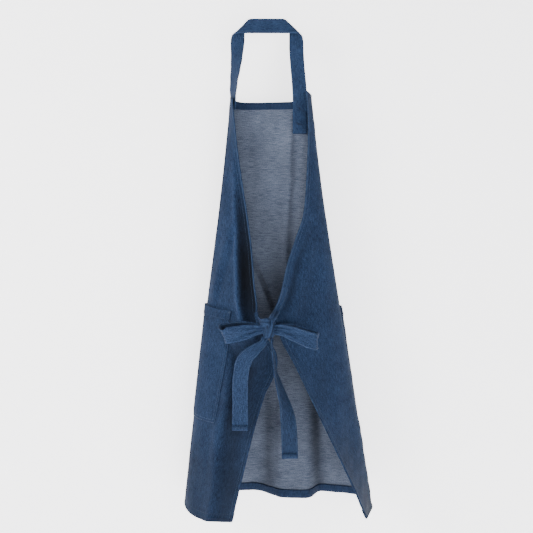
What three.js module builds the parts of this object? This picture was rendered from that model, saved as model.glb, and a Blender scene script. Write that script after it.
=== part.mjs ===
// Denim artist's smock apron, tied at the back and hung by its neck strap.
// Millimetres, +Z up. The origin is the middle of the strap's top edge, in the plane it hangs in.
// +Y is the way the front panel faces when worn, -Y is the wearer's back, where the bow is.
import * as THREE from 'three';

// ---- Driving dimensions ----
const clothThickness = 1.2;
const layerGap = 0.5;           // between two layers that lie on each other
const seamGap = 0.4;            // between two pieces that meet edge to edge

const apronLength = 905;        // bib top to hem, down the middle of the front
const strapDrop = 190;          // strap's top edge down to the bib's top edge
const bibHemHeight = 15;
const skirtHemHeight = 17;
const edgeHemWidth = 10;        // turned edge of the armholes and of the back opening

const pocketDrop = 465;         // bib top to pocket mouth
const pocketHeight = 240;
const pocketWidth = 150;
const pocketHemHeight = 20;
const pocketFullness = 18;      // how far the pocket's mouth stands open
const leftPocketWrap = 55;      // how far the left pocket reaches round the side fold

const strapWidth = 33;
const strapThickness = 1.6;
const strapBandHalf = 50;       // middle of the strap to the middle of its fold
const strapFoldRadius = 8;      // bend over the rod or arm that it hangs on
const strapEndOverlap = 70;     // the right end hangs this far below the bib's top
const strapHemHeight = 10;

const tieWidth = 34;
const tieThickness = 2;
const knotRadius = 13;
const knotHeight = 40;
const leftLoopReach = 88;
const rightLoopReach = 96;
const leftTailDrop = 200;
const rightTailDrop = 254;
const tailHemHeight = 9;

// How the cloth hangs, by share of the way down from bib top (0) to hem (1).
// Plan positions: the side folds are the widest places, the back edges meet at the knot.
const leftFoldX = [[0, -84], [0.25, -108], [0.55, -143], [0.75, -165], [1, -190]];
const rightFoldX = [[0, 102], [0.25, 130], [0.55, 173], [0.75, 203], [1, 238]];
const foldY = [[0, 2], [0.25, -2], [0.55, 0], [0.75, 4], [1, 10]];
const frontY = [[0, 14], [0.25, 20], [0.55, 24], [0.75, 34], [1, 48]];
const leftEdgeX = [[0, -80], [0.13, -67], [0.34, -47], [0.52, -31], [0.57, -8], [0.62, 16],
  [0.66, 12], [0.71, -11], [0.84, -48], [1, -81]];
const rightEdgeX = [[0, 96], [0.18, 91], [0.29, 82], [0.35, 64], [0.41, 46], [0.48, 31],
  [0.54, 14], [0.58, 26], [0.64, 55], [0.79, 121], [0.93, 182], [1, 209]];
const leftEdgeY = [[0, -28], [0.13, -34], [0.34, -58], [0.52, -88], [0.6, -93], [0.78, -105], [1, -130]];
const rightEdgeY = [[0, -20], [0.13, -28], [0.34, -58], [0.52, -88], [0.6, -93], [0.78, -112], [1, -150]];
const frontFold = [[0, 0], [0.6, 0], [0.8, 24], [1, 60]];   // soft fold pushed in towards the wearer
const frontFoldMiddle = 62;
const frontFoldSpread = 38;
const sideDrop = 15;            // the hem hangs lower at the side folds than in front
const leftWingSag = 14;         // and lower still between side fold and back edge
const rightWingSag = 3;
const frontSquareness = 5;      // 2 is an ellipse, larger is flatter with tighter corners

const waistShare = 0.558;       // where the ties meet
const knotX = 3;
const knotStandOff = 18;        // knot's middle to the plane of the back edges

// ---- Colours ----
const denim = { color: 0x334b6e, roughness: 0.9, metalness: 0 };
const denimInside = { color: 0x68707f, roughness: 0.92, metalness: 0 };
const hemBlue = { color: 0x243a5d, roughness: 0.9, metalness: 0 };
const tieBlue = { color: 0x3d557f, roughness: 0.88, metalness: 0 };

const apron = new THREE.Group();
apron.name = 'artist_smock_apron';

function addPiece(name, geometry, look) {
  const mesh = new THREE.Mesh(geometry, new THREE.MeshStandardMaterial(look));
  mesh.name = name;
  apron.add(mesh);
}

// Value at a share of the way down, eased between the stations given.
function station(list, share) {
  for (let i = 1; i < list.length; i += 1) {
    const [s0, a] = list[i - 1];
    const [s1, b] = list[i];
    if (share <= s1) {
      const before = list[i - 2] ?? list[i - 1];
      const after = list[i + 1] ?? list[i];
      const slopeA = (b - before[1]) / (s1 - before[0]);
      const slopeB = (after[1] - a) / (after[0] - s0);
      const step = s1 - s0;
      const t = (share - s0) / step;
      return (2 * t ** 3 - 3 * t ** 2 + 1) * a + (t ** 3 - 2 * t ** 2 + t) * step * slopeA
        + (3 * t ** 2 - 2 * t ** 3) * b + (t ** 3 - t ** 2) * step * slopeB;
    }
  }
  return list[list.length - 1][1];
}

// ---- A closed solid between two matching grids of points, inner and outer ----
// Rows run down and columns run across, and the outer grid lies on the across-times-down side.
function solidBetween(inner, outer) {
  const rows = inner.length;
  const columns = inner[0].length;
  const positions = [];
  const indices = [];
  [inner, outer].forEach((grid) => grid.forEach((line) => line.forEach((p) => positions.push(p.x, p.y, p.z))));
  const at = (layer, r, c) => layer * rows * columns + r * columns + c;
  const quad = (a, b, c, d) => indices.push(a, b, c, a, c, d);
  for (let r = 0; r < rows - 1; r += 1) {
    for (let c = 0; c < columns - 1; c += 1) {
      // Both faces are split along the same diagonal, so two layers never cross.
      quad(at(1, r, c), at(1, r, c + 1), at(1, r + 1, c + 1), at(1, r + 1, c));
      quad(at(0, r, c), at(0, r + 1, c), at(0, r + 1, c + 1), at(0, r, c + 1));
    }
  }
  for (let c = 0; c < columns - 1; c += 1) {
    quad(at(0, 0, c), at(0, 0, c + 1), at(1, 0, c + 1), at(1, 0, c));
    quad(at(0, rows - 1, c), at(1, rows - 1, c), at(1, rows - 1, c + 1), at(0, rows - 1, c + 1));
  }
  for (let r = 0; r < rows - 1; r += 1) {
    quad(at(0, r, 0), at(1, r, 0), at(1, r + 1, 0), at(0, r + 1, 0));
    quad(at(0, r, columns - 1), at(0, r + 1, columns - 1), at(1, r + 1, columns - 1), at(1, r, columns - 1));
  }
  const geometry = new THREE.BufferGeometry();
  geometry.setAttribute('position', new THREE.Float32BufferAttribute(positions, 3));
  geometry.setIndex(indices);
  geometry.computeVertexNormals();
  return geometry;
}

// ---- The hanging cloth: one grid that every sewn piece is cut from ----
class FrontPlan extends THREE.Curve {
  constructor(left, right, sideY, y) {
    super();
    this.middle = (left + right) / 2;
    this.half = (right - left) / 2;
    this.sideY = sideY;
    this.depth = y - sideY;
  }

  getPoint(t, target = new THREE.Vector3()) {
    const angle = Math.PI * t;
    const power = 2 / frontSquareness;
    const across = -Math.sign(Math.cos(angle)) * Math.abs(Math.cos(angle)) ** power;
    const forward = Math.abs(Math.sin(angle)) ** power;
    return target.set(this.middle + this.half * across, this.sideY + this.depth * forward, 0);
  }
}

// Side panel in plan, from its side fold round to its back edge.
function wingPlan(fold, edge) {
  const reach = fold.distanceTo(edge);
  const straight = new THREE.Vector3(fold.x, fold.y - reach * 0.35, 0);
  const bow = edge.clone().lerp(fold, 0.35);
  bow.y -= reach * 0.06;
  return new THREE.CubicBezierCurve3(fold, straight, bow, edge);
}

const wingColumns = 6;
const foldColumns = [12, 28];   // closer columns beside each fold, where the cloth turns fastest

function wingDistances(width) {
  const body = width - edgeHemWidth;
  const wrap = Math.min(leftPocketWrap, body * 0.5);
  return [0, Math.min(foldColumns[0], body * 0.12), Math.min(foldColumns[1], body * 0.28), wrap,
    (wrap + body) / 2, body, width];
}

function frontDistances(width) {
  const near = (share, size) => Math.min(size, share * width);
  const leftPocketEdge = near(0.3, pocketWidth - leftPocketWrap);
  const rightPocketEdge = width - near(0.45, pocketWidth);
  return [0, near(0.05, foldColumns[0]), near(0.1, foldColumns[1]), leftPocketEdge * 0.63,
    leftPocketEdge, ...[0.33, 0.67].map((t) => leftPocketEdge + (rightPocketEdge - leftPocketEdge) * t),
    rightPocketEdge, width - near(0.37, pocketWidth * 0.85),
    width - near(0.3, pocketWidth * 0.7), width - near(0.2, pocketWidth * 0.4),
    width - near(0.1, foldColumns[1]), width - near(0.05, foldColumns[0]), width];
}

// One row of the grid, from the left back edge round the front to the right back edge.
function clothRow(drop) {
  const share = drop / apronLength;
  const sideY = station(foldY, share);
  const leftFold = new THREE.Vector3(station(leftFoldX, share), sideY, 0);
  const rightFold = new THREE.Vector3(station(rightFoldX, share), sideY, 0);
  const leftEdge = new THREE.Vector3(station(leftEdgeX, share), station(leftEdgeY, share), 0);
  const rightEdge = new THREE.Vector3(station(rightEdgeX, share), station(rightEdgeY, share), 0);
  const place = (curve, distances, lower) => {
    const length = curve.getLength();
    return distances(length).map((distance) => {
      const along = Math.min(1, distance / length);
      const point = curve.getPointAt(along);
      point.z = -strapDrop - drop - lower(along) * share;
      return point;
    });
  };
  const wingLower = (sag) => (along) => sideDrop + sag * Math.sin(Math.PI * along);
  const left = place(wingPlan(leftFold, leftEdge), wingDistances, wingLower(leftWingSag)).reverse();
  const right = place(wingPlan(rightFold, rightEdge), wingDistances, wingLower(rightWingSag));
  const front = place(new FrontPlan(leftFold.x, rightFold.x, sideY, station(frontY, share)),
    frontDistances, (along) => sideDrop * (2 * along - 1) ** 2);
  front.forEach((point) => {
    point.y -= station(frontFold, share) * Math.exp(-(((point.x - frontFoldMiddle) / frontFoldSpread) ** 2));
  });
  return [...left.slice(0, -1), ...front, ...right.slice(1)];
}

function evenly(from, to, count) {
  return Array.from({ length: count }, (_, i) => from + (to - from) * i / count);
}

const pocketHemEnd = pocketDrop + pocketHemHeight;
const pocketEnd = pocketDrop + pocketHeight;
const hemStart = apronLength - skirtHemHeight;
const rowDrops = [0, ...evenly(bibHemHeight, pocketDrop, 9), ...evenly(pocketDrop, pocketHemEnd, 1),
  ...evenly(pocketHemEnd, pocketEnd, 5), ...evenly(pocketEnd, hemStart, 4), hemStart, apronLength];
const cloth = rowDrops.map(clothRow);
const lastRow = rowDrops.length - 1;
const lastColumn = cloth[0].length - 1;
const leftFoldColumn = wingColumns;
const rightFoldColumn = lastColumn - wingColumns;
const rowAt = (drop) => rowDrops.findIndex((value) => Math.abs(value - drop) < 1e-6);

// Outward normal of the cloth at each grid point.
const clothNormals = cloth.map((line, r) => line.map((_, c) => {
  const across = cloth[r][Math.min(c + 1, lastColumn)].clone().sub(cloth[r][Math.max(c - 1, 0)]);
  const down = cloth[Math.min(r + 1, lastRow)][c].clone().sub(cloth[Math.max(r - 1, 0)][c]);
  return across.cross(down).normalize();
}));

// A layer cut from the grid between two columns and two rows, pulled in a little where it meets
// the next piece. The offsets run outward from the middle of the body cloth.
function clothLayer(columns, rows, offset, thickness, fullness = () => 0) {
  const [c0, c1] = columns;
  const [r0, r1] = rows;
  const grid = (extra) => {
    const lines = [];
    for (let r = r0; r <= r1; r += 1) {
      const line = [];
      for (let c = c0; c <= c1; c += 1) {
        const lift = offset + extra + fullness((c - c0) / (c1 - c0), (r - r0) / (r1 - r0));
        line.push(cloth[r][c].clone().addScaledVector(clothNormals[r][c], lift));
      }
      lines.push(line);
    }
    const pull = (from, to) => from.add(to.clone().sub(from).setLength(seamGap / 2));
    lines.forEach((line) => {
      if (c0 > 0) pull(line[0], line[1]);
      if (c1 < lastColumn) pull(line[line.length - 1], line[line.length - 2]);
    });
    lines[0].forEach((p, i) => r0 > 0 && pull(p, lines[1][i]));
    lines[lines.length - 1].forEach((p, i) => r1 < lastRow && pull(p, lines[lines.length - 2][i]));
    return lines;
  };
  return solidBetween(grid(-thickness / 2), grid(thickness / 2));
}

const allRows = [0, lastRow];
addPiece('front_panel', clothLayer([leftFoldColumn, rightFoldColumn], allRows, 0, clothThickness), denimInside);
addPiece('left_side_panel', clothLayer([0, leftFoldColumn], allRows, 0, clothThickness), denim);
addPiece('right_side_panel', clothLayer([rightFoldColumn, lastColumn], allRows, 0, clothThickness), denim);

// Turned hems lie on the inside of the cloth.
const insideHem = -(clothThickness + layerGap);
const hemRows = [rowAt(hemStart), lastRow];
const bibRows = [0, rowAt(bibHemHeight)];
const hems = [
  ['bib_top_hem', [leftFoldColumn, rightFoldColumn], bibRows],
  ['front_hem', [leftFoldColumn, rightFoldColumn], hemRows],
  ['left_side_hem', [1, leftFoldColumn], hemRows],
  ['right_side_hem', [rightFoldColumn, lastColumn - 1], hemRows],
];
hems.forEach(([name, columns, rows]) => {
  addPiece(name, clothLayer(columns, rows, insideHem, clothThickness), hemBlue);
});

// The turned back edges change name at the waist, where the ties are sewn in.
const waistRow = rowDrops.findIndex((drop) => drop / apronLength >= waistShare);
[['left', [0, 1]], ['right', [lastColumn - 1, lastColumn]]].forEach(([side, columns]) => {
  addPiece(`${side}_armhole_hem`, clothLayer(columns, [0, waistRow], insideHem, clothThickness), hemBlue);
  addPiece(`${side}_back_hem`, clothLayer(columns, [waistRow, lastRow], insideHem, clothThickness), hemBlue);
});

// ---- Patch pockets on the outside, standing a little open at the mouth ----
const pocketRows = [rowAt(pocketDrop), rowAt(pocketEnd)];
const pocketOffset = clothThickness + layerGap;
const pockets = [
  ['left', [leftFoldColumn - 3, leftFoldColumn + 4], 2],
  ['right', [rightFoldColumn - 6, rightFoldColumn], 0.8],
];
pockets.forEach(([side, columns, lean]) => {
  const mouth = (across, down) => (
    pocketFullness * Math.sin(Math.PI * across ** lean) * (1 - down) ** 0.6);
  const rowShare = 1 / (pocketRows[1] - pocketRows[0]);
  addPiece(`${side}_pocket`, clothLayer(columns, pocketRows, pocketOffset, clothThickness, mouth), denim);
  const outside = pocketOffset + clothThickness + 2 * layerGap;
  addPiece(`${side}_pocket_hem`, clothLayer(columns, [pocketRows[0], pocketRows[0] + 1], outside,
    clothThickness, (across, down) => mouth(across, down * rowShare)), hemBlue);
});

// ---- Neck strap: a flat strip folded over at 45 degrees on each side ----
const bandZ = -strapWidth / 2;
const halfTurn = Math.PI * strapFoldRadius;
const legX = strapBandHalf + halfTurn / Math.SQRT2;
const smooth = (t) => THREE.MathUtils.smoothstep(t, 0, 1);

// side is -1 at the left and 1 at the right; along is the distance from the middle of the strip.
function strapPoint(side, along, across) {
  const past = (along - strapBandHalf + across) / Math.SQRT2;
  if (past <= 0) return new THREE.Vector3(side * along, -strapFoldRadius, bandZ + across);
  const axis = (across - along + strapBandHalf) / Math.SQRT2;
  const turned = Math.min(past, halfTurn);
  const out = strapFoldRadius * Math.sin(turned / strapFoldRadius) - (past - turned);
  const x = strapBandHalf + (out - axis) / Math.SQRT2;
  const z = bandZ + (out + axis) / Math.SQRT2;
  return new THREE.Vector3(side * x, -strapFoldRadius * Math.cos(turned / strapFoldRadius), z);
}

// Below the fold each leg drifts to its corner of the bib; the left one also turns edge-on.
const hemStack = 1.5 * clothThickness + 2 * layerGap + strapThickness / 2;
const legEnds = {
  '-1': {
    x: cloth[1][0].x + hemStack - layerGap,
    y: (cloth[0][0].y + cloth[0][leftFoldColumn].y) / 2 + 3,
    turn: Math.PI / 2,
    length: strapDrop + bibHemHeight + 7,
  },
  1: {
    x: cloth[0][rightFoldColumn].x - 26,
    y: cloth[0][rightFoldColumn - 2].y - hemStack - layerGap,
    turn: 0,
    length: strapDrop + strapEndOverlap,
  },
};

function legPoint(side, depth, across) {
  const end = legEnds[side];
  const t = smooth((depth - strapWidth * 1.6) / (strapDrop - strapWidth * 1.6));
  const angle = end.turn * t;
  const x = side * legX + (end.x - side * legX) * t - side * across * Math.cos(angle);
  const y = strapFoldRadius + (end.y - strapFoldRadius) * t - across * Math.sin(angle);
  return new THREE.Vector3(x, y, -depth);
}

function strapLine(side, along, tilt) {
  return [-1, 1].map((edge) => strapPoint(side, along - tilt * edge * strapWidth / 2, edge * strapWidth / 2));
}

function strapHalf(side) {
  const lines = [];
  for (let i = 0; i <= 8; i += 1) {
    lines.push(strapLine(side, strapBandHalf + halfTurn * Math.SQRT2 * i / 8, 1));
  }
  const start = strapWidth * 1.4;
  const steps = 12;
  for (let i = 0; i <= steps; i += 1) {
    const depth = start + (legEnds[side].length - start) * i / steps;
    lines.push([-1, 1].map((edge) => legPoint(side, depth, edge * strapWidth / 2)));
  }
  return lines;
}

// The strip's two edges become a closed solid of even thickness.
function strapSolid(lines, offset, thickness) {
  const normals = lines.map((line, i) => {
    const before = lines[Math.max(i - 1, 0)];
    const after = lines[Math.min(i + 1, lines.length - 1)];
    const along = after[0].clone().add(after[1]).sub(before[0]).sub(before[1]);
    return line[1].clone().sub(line[0]).cross(along).normalize();
  });
  const layer = (lift) => lines.map((line, i) => line.map((p) => p.clone().addScaledVector(normals[i], lift)));
  return solidBetween(layer(offset - thickness / 2), layer(offset + thickness / 2));
}

const strapLines = [...strapHalf(-1).reverse(), ...strapHalf(1)];
addPiece('neck_strap', strapSolid(strapLines, 0, strapThickness), tieBlue);

const strapEnd = legEnds[1].length;
const strapHemLines = [strapEnd - strapHemHeight, strapEnd].map((depth) => (
  [-1, 1].map((edge) => legPoint(1, depth, edge * (strapWidth / 2 - 1)))));
addPiece('strap_end_hem', strapSolid(strapHemLines, strapThickness / 2 + layerGap + clothThickness / 2,
  clothThickness), hemBlue);

// ---- Ties, knot and bow ----
const waistZ = -strapDrop - apronLength * waistShare - sideDrop * waistShare;
const knot = new THREE.Vector3(knotX, station(leftEdgeY, waistShare) - knotStandOff, waistZ);

// A flat tie along a curve: stations hold a place, the width there and the way the width runs.
function ribbon(stations, steps, thickness = tieThickness) {
  const curve = new THREE.CatmullRomCurve3(stations.map((s) => s.at), false, 'centripetal');
  const lines = { inner: [], outer: [] };
  for (let i = 0; i <= steps; i += 1) {
    const t = i / steps;
    const along = t * (stations.length - 1);
    const k = Math.min(Math.floor(along), stations.length - 2);
    const from = stations[k];
    const to = stations[k + 1];
    const mix = along - k;
    const width = from.wide + (to.wide - from.wide) * mix;
    const tangent = curve.getTangent(t);
    const across = from.run.clone().lerp(to.run, mix);
    across.addScaledVector(tangent, -across.dot(tangent)).normalize();
    const face = across.clone().cross(tangent);
    const point = curve.getPoint(t);
    const edge = (side, lift) => point.clone().addScaledVector(across, side * width / 2)
      .addScaledVector(face, lift * thickness / 2);
    lines.inner.push([edge(-1, -1), edge(1, -1)]);
    lines.outer.push([edge(-1, 1), edge(1, 1)]);
  }
  return solidBetween(lines.inner, lines.outer);
}

const upright = new THREE.Vector3(0, 0, 1);
const sideways = new THREE.Vector3(1, 0, 0);
const forward = new THREE.Vector3(0, 1, 0);
const near = (x, y, z) => new THREE.Vector3(knot.x + x, knot.y + y, knot.z + z);

const barrel = [[0, -0.5], [0.72, -0.5], [0.93, -0.42], [1, -0.2], [1, 0.2], [0.93, 0.42], [0.72, 0.5], [0, 0.5]];
const barrelProfile = barrel.map(([r, z]) => new THREE.Vector2(r * knotRadius, z * knotHeight));
const barrelGeometry = new THREE.LatheGeometry(barrelProfile, 20);
barrelGeometry.rotateX(Math.PI / 2);
barrelGeometry.translate(knot.x, knot.y, knot.z);
addPiece('bow_knot', barrelGeometry, tieBlue);

// Each loop leaves the knot, turns at its tip and comes back behind itself.
function bowLoop(side, reach, droop) {
  const root = knotRadius + 0.5 + droop * 0.05;
  const place = (share, y, drop) => near(side * (root + (reach - root + knotRadius) * share), y, -drop);
  const spread = tieWidth * 0.3;
  const stations = [
    { at: place(0, -3.2, 0), wide: tieWidth * 0.62 },
    { at: place(0.35, -spread * 0.75, droop * 0.22), wide: tieWidth * 0.86 },
    { at: place(0.75, -spread, droop * 0.8), wide: tieWidth },
    { at: place(1, 0, droop), wide: tieWidth },
    { at: place(0.75, spread * 0.8, droop * 0.7), wide: tieWidth },
    { at: place(0.35, spread * 0.6, droop * 0.18), wide: tieWidth * 0.86 },
    { at: place(0, 3.2, 0), wide: tieWidth * 0.62 },
  ];
  return ribbon(stations.map((s) => ({ ...s, run: upright })), 22);
}
addPiece('left_bow_loop', bowLoop(-1, leftLoopReach, 10), tieBlue);
addPiece('right_bow_loop', bowLoop(1, rightLoopReach, 26), tieBlue);

// The ends of the ties that are sewn to the back edges and run into the knot.
function waistTie(side, share, height, clearance, steep) {
  const edge = side < 0 ? 0 : lastColumn;
  const row = rowDrops.findLastIndex((drop) => drop / apronLength <= share);
  const hem = cloth[row][edge];
  const out = hem.clone().sub(cloth[row][edge - side]).normalize();
  const start = hem.clone().addScaledVector(out, tieThickness / 2 + layerGap + seamGap / 2);
  start.y -= clothThickness / 2 + 2 * layerGap;
  const past = start.clone().addScaledVector(out, 3);
  past.y -= tieThickness * 1.4;
  const radial = start.clone().sub(knot).setZ(0).normalize();
  const finish = knot.clone().addScaledVector(radial, knotRadius + clearance);
  finish.z += height;
  const along = cloth[row + 1][edge].clone().sub(cloth[row - 1][edge]).normalize();
  const run = steep ? upright.clone().cross(radial).multiplyScalar(-side) : upright.clone().negate();
  return ribbon([{ at: start, wide: tieWidth * 0.5, run: along },
    { at: past, wide: tieWidth * 0.5, run: along.clone().lerp(run, 0.4) },
    { at: finish, wide: tieWidth * 0.4, run }], 6);
}
addPiece('left_waist_tie', waistTie(-1, 0.54, 15, 2.6, false), tieBlue);
addPiece('right_waist_tie', waistTie(1, 0.52, 12, 1.4, true), tieBlue);

// The free tails start under the knot. The right one hangs edge-on first and then turns to face back.
const tailTop = -knotHeight / 2 - 0.6;
const tails = {
  left: [
    { at: near(-6, -4, tailTop - 2), wide: 11, run: sideways },
    { at: near(-10, -5, tailTop - 9), wide: 14, run: sideways },
    { at: near(-26, -7.4, tailTop - 22), wide: 22, run: sideways },
    { at: near(-52, -8.6, tailTop - 44), wide: 33, run: sideways },
    { at: near(-60, -8.8, tailTop - 80), wide: tieWidth, run: sideways },
    { at: near(-61, -8.8, tailTop - leftTailDrop), wide: tieWidth, run: sideways },
  ],
  right: [
    { at: near(8, -4, tailTop - 0.3), wide: 10, run: forward },
    { at: near(11, -8, tailTop - 30), wide: 22, run: forward },
    { at: near(15, -8.8, tailTop - 66), wide: 30, run: forward.clone().lerp(sideways, 0.25) },
    { at: near(28, -8.8, tailTop - 105), wide: 32, run: sideways.clone().lerp(forward, 0.3) },
    { at: near(40, -8.8, tailTop - 150), wide: tieWidth, run: sideways },
    { at: near(46, -8.8, tailTop - rightTailDrop), wide: tieWidth, run: sideways },
  ],
};
Object.entries(tails).forEach(([side, stations]) => {
  addPiece(`${side}_tie_tail`, ribbon(stations, 20), tieBlue);
  const end = stations[stations.length - 1];
  const lift = tieThickness / 2 + layerGap + clothThickness / 2;
  const hem = [end.at.clone().setZ(end.at.z + tailHemHeight), end.at.clone()].map((at) => (
    { at: at.setY(at.y - lift), wide: tieWidth - 2, run: sideways }));
  addPiece(`${side}_tail_hem`, ribbon(hem, 1, clothThickness), hemBlue);
});

export default apron;
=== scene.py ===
import math

import bpy
import numpy as np
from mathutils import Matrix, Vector


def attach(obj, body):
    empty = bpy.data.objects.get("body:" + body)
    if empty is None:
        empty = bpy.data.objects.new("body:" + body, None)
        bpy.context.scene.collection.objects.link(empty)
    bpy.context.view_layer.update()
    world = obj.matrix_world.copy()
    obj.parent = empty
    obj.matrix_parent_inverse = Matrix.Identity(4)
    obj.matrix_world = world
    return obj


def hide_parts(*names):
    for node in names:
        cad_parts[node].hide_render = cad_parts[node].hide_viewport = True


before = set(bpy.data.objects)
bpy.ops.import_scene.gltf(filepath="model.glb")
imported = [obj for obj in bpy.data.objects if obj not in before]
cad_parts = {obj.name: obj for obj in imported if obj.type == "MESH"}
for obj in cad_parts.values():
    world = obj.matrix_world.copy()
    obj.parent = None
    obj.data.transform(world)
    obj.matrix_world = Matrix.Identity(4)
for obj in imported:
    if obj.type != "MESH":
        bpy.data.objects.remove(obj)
bpy.ops.object.select_all(action="DESELECT")
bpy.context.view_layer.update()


# ---- Camera, light and room ----
# A level camera looks straight at the apron's back. A large soft window stands to the left, in front.
# The wall and floor are plain and pale. Seen from behind, the wall lets the view through.
upright = (math.pi / 2, 0, 0)
wall_y = 0.1
floor_z = -1.75
room_size = 40
bpy.ops.object.camera_add(location=(-0.00115, -1.7, -0.568), rotation=upright)
camera = bpy.context.object
camera.name = "camera"
camera.data.lens = 49.9
camera.data.sensor_width = 36
bpy.context.scene.camera = camera


def area_light(name, place, aim, size, power, tint):
    bpy.ops.object.light_add(type="AREA", location=place)
    light = bpy.context.object
    light.name = name
    light.data.size = size
    light.data.energy = power
    light.data.color = tint
    direction = Vector(aim) - Vector(place)
    light.rotation_euler = direction.to_track_quat("-Z", "Y").to_euler()


area_light("window_light", (-1.75, -1.5, 0.1), (0, 0, -0.55), 1.0, 56, (1.0, 0.99, 0.97))
area_light("room_light", (0.5, -2.5, -0.9), (0, 0, -0.7), 1.5, 62, (0.97, 0.98, 1.0))
area_light("back_light", (0.6, 2.2, 0.5), (0, 0, -0.6), 2.0, 40, (1.0, 1.0, 1.0))

world = bpy.data.worlds.new("soft_room")
bpy.context.scene.world = world
world.use_nodes = True
world.node_tree.nodes["Background"].inputs["Color"].default_value = (0.93, 0.945, 0.96, 1)
world.node_tree.nodes["Background"].inputs["Strength"].default_value = 0.26


def new_material(name, roughness):
    material = bpy.data.materials.new(name)
    material.use_nodes = True
    shader = material.node_tree.nodes["Principled BSDF"]
    shader.inputs["Roughness"].default_value = roughness
    return material, material.node_tree.nodes, material.node_tree.links, shader


plaster, nodes, links, shader = new_material("wall_plaster", 0.9)
coords = nodes.new("ShaderNodeTexCoord")
grain = nodes.new("ShaderNodeTexNoise")
grain.inputs["Scale"].default_value = 3.0
tint = nodes.new("ShaderNodeMix")
tint.data_type = "RGBA"
tint.inputs["A"].default_value = (0.80, 0.79, 0.785, 1)
tint.inputs["B"].default_value = (0.86, 0.855, 0.855, 1)
links.new(coords.outputs["Object"], grain.inputs["Vector"])
links.new(grain.outputs["Fac"], tint.inputs["Factor"])
links.new(tint.outputs["Result"], shader.inputs["Base Color"])
shader.inputs["Emission Color"].default_value = (0.97, 0.97, 1.0, 1)
shader.inputs["Emission Strength"].default_value = 1.82
behind = nodes.new("ShaderNodeNewGeometry")
clear = nodes.new("ShaderNodeBsdfTransparent")
either = nodes.new("ShaderNodeMixShader")
links.new(behind.outputs["Backfacing"], either.inputs["Fac"])
links.new(shader.outputs["BSDF"], either.inputs[1])
links.new(clear.outputs["BSDF"], either.inputs[2])
links.new(either.outputs["Shader"], nodes["Material Output"].inputs["Surface"])

bpy.ops.mesh.primitive_plane_add(size=room_size, location=(0, wall_y, 0), rotation=upright)
wall = bpy.context.object
wall.name = "wall"
wall.data.materials.append(plaster)
bpy.ops.mesh.primitive_plane_add(size=room_size, location=(0, 0, floor_z))
floor = bpy.context.object
floor.name = "floor"
floor.data.materials.append(plaster)


# ---- Denim ----
# Twill of a dyed yarn that runs down the outside and a pale one across the inside, each thick and thin along
# its length. The group gives a colour between two shades and the yarns' height, at real size. A third input
# then scales the colour: it holds worn edges and random tone, and also painted shade and highlight.
def denim_group():
    group = bpy.data.node_groups.new("denim_weave", "ShaderNodeTree")
    for name, kind in (("Cloth", "NodeSocketVector"), ("Yarn", "NodeSocketVector"),
                       ("Deep", "NodeSocketColor"), ("Pale", "NodeSocketColor"),
                       ("Wear and shade", "NodeSocketFloat")):
        group.interface.new_socket(name, in_out="INPUT", socket_type=kind)
    group.interface.new_socket("Color", in_out="OUTPUT", socket_type="NodeSocketColor")
    group.interface.new_socket("Height", in_out="OUTPUT", socket_type="NodeSocketFloat")
    made, join = group.nodes, group.links
    entry = made.new("NodeGroupInput")
    leave = made.new("NodeGroupOutput")

    def noise(scale, detail):
        node = made.new("ShaderNodeTexNoise")
        node.inputs["Scale"].default_value = scale
        node.inputs["Detail"].default_value = detail
        return node

    def scaled(source, amount):
        node = made.new("ShaderNodeVectorMath")
        node.operation = "MULTIPLY"
        join.new(source, node.inputs[0])
        node.inputs[1].default_value = (amount, amount, 1)
        return node

    def blend(low, high, factor_from):
        node = made.new("ShaderNodeMapRange")
        node.inputs["From Min"].default_value = low
        node.inputs["From Max"].default_value = high
        join.new(factor_from, node.inputs["Value"])
        return node

    def sum_of(first, second, share):
        node = made.new("ShaderNodeMath")
        node.operation = "MULTIPLY_ADD"
        join.new(second, node.inputs[0])
        node.inputs[1].default_value = share
        join.new(first, node.inputs[2])
        return node

    along = made.new("ShaderNodeVectorMath")
    along.operation = "MULTIPLY"
    join.new(entry.outputs["Cloth"], along.inputs[0])
    join.new(entry.outputs["Yarn"], along.inputs[1])
    slubs = noise(1.0, 2.0)
    join.new(along.outputs["Vector"], slubs.inputs["Vector"])
    wide = scaled(along.outputs["Vector"], 0.36)
    broad = noise(1.0, 1.0)
    join.new(wide.outputs["Vector"], broad.inputs["Vector"])
    speck_scale, cloud_scale = 520.0, 16.0
    speck = noise(speck_scale, 1.0)
    join.new(entry.outputs["Cloth"], speck.inputs["Vector"])
    cloud = noise(cloud_scale, 2.0)
    join.new(entry.outputs["Cloth"], cloud.inputs["Vector"])
    streak = sum_of(slubs.outputs["Fac"], broad.outputs["Fac"], 0.3)
    grit = sum_of(streak.outputs["Value"], speck.outputs["Fac"], 0.8)
    tone_wear_and_shade = sum_of(grit.outputs["Value"], cloud.outputs["Fac"], 0.3)
    shade = blend(0.96, 1.44, tone_wear_and_shade.outputs["Value"])
    mixed = made.new("ShaderNodeMix")
    mixed.data_type = "RGBA"
    join.new(shade.outputs["Result"], mixed.inputs["Factor"])
    join.new(entry.outputs["Deep"], mixed.inputs["A"])
    join.new(entry.outputs["Pale"], mixed.inputs["B"])
    # The wear input scales the colour. Above nought, worn edges and painted highlight lighten it; below
    # nought, painted shade darkens it.
    wear_and_shade_factor = made.new("ShaderNodeMath")
    wear_and_shade_factor.operation = "MULTIPLY_ADD"
    join.new(entry.outputs["Wear and shade"], wear_and_shade_factor.inputs[0])
    wear_and_shade_factor.inputs[1].default_value = 0.8
    wear_and_shade_factor.inputs[2].default_value = 1.0
    toned = made.new("ShaderNodeVectorMath")
    toned.operation = "SCALE"
    join.new(mixed.outputs["Result"], toned.inputs[0])
    join.new(wear_and_shade_factor.outputs["Value"], toned.inputs["Scale"])
    join.new(toned.outputs["Vector"], leave.inputs["Color"])
    join.new(grit.outputs["Value"], leave.inputs["Height"])
    return group


weave = denim_group()


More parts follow.
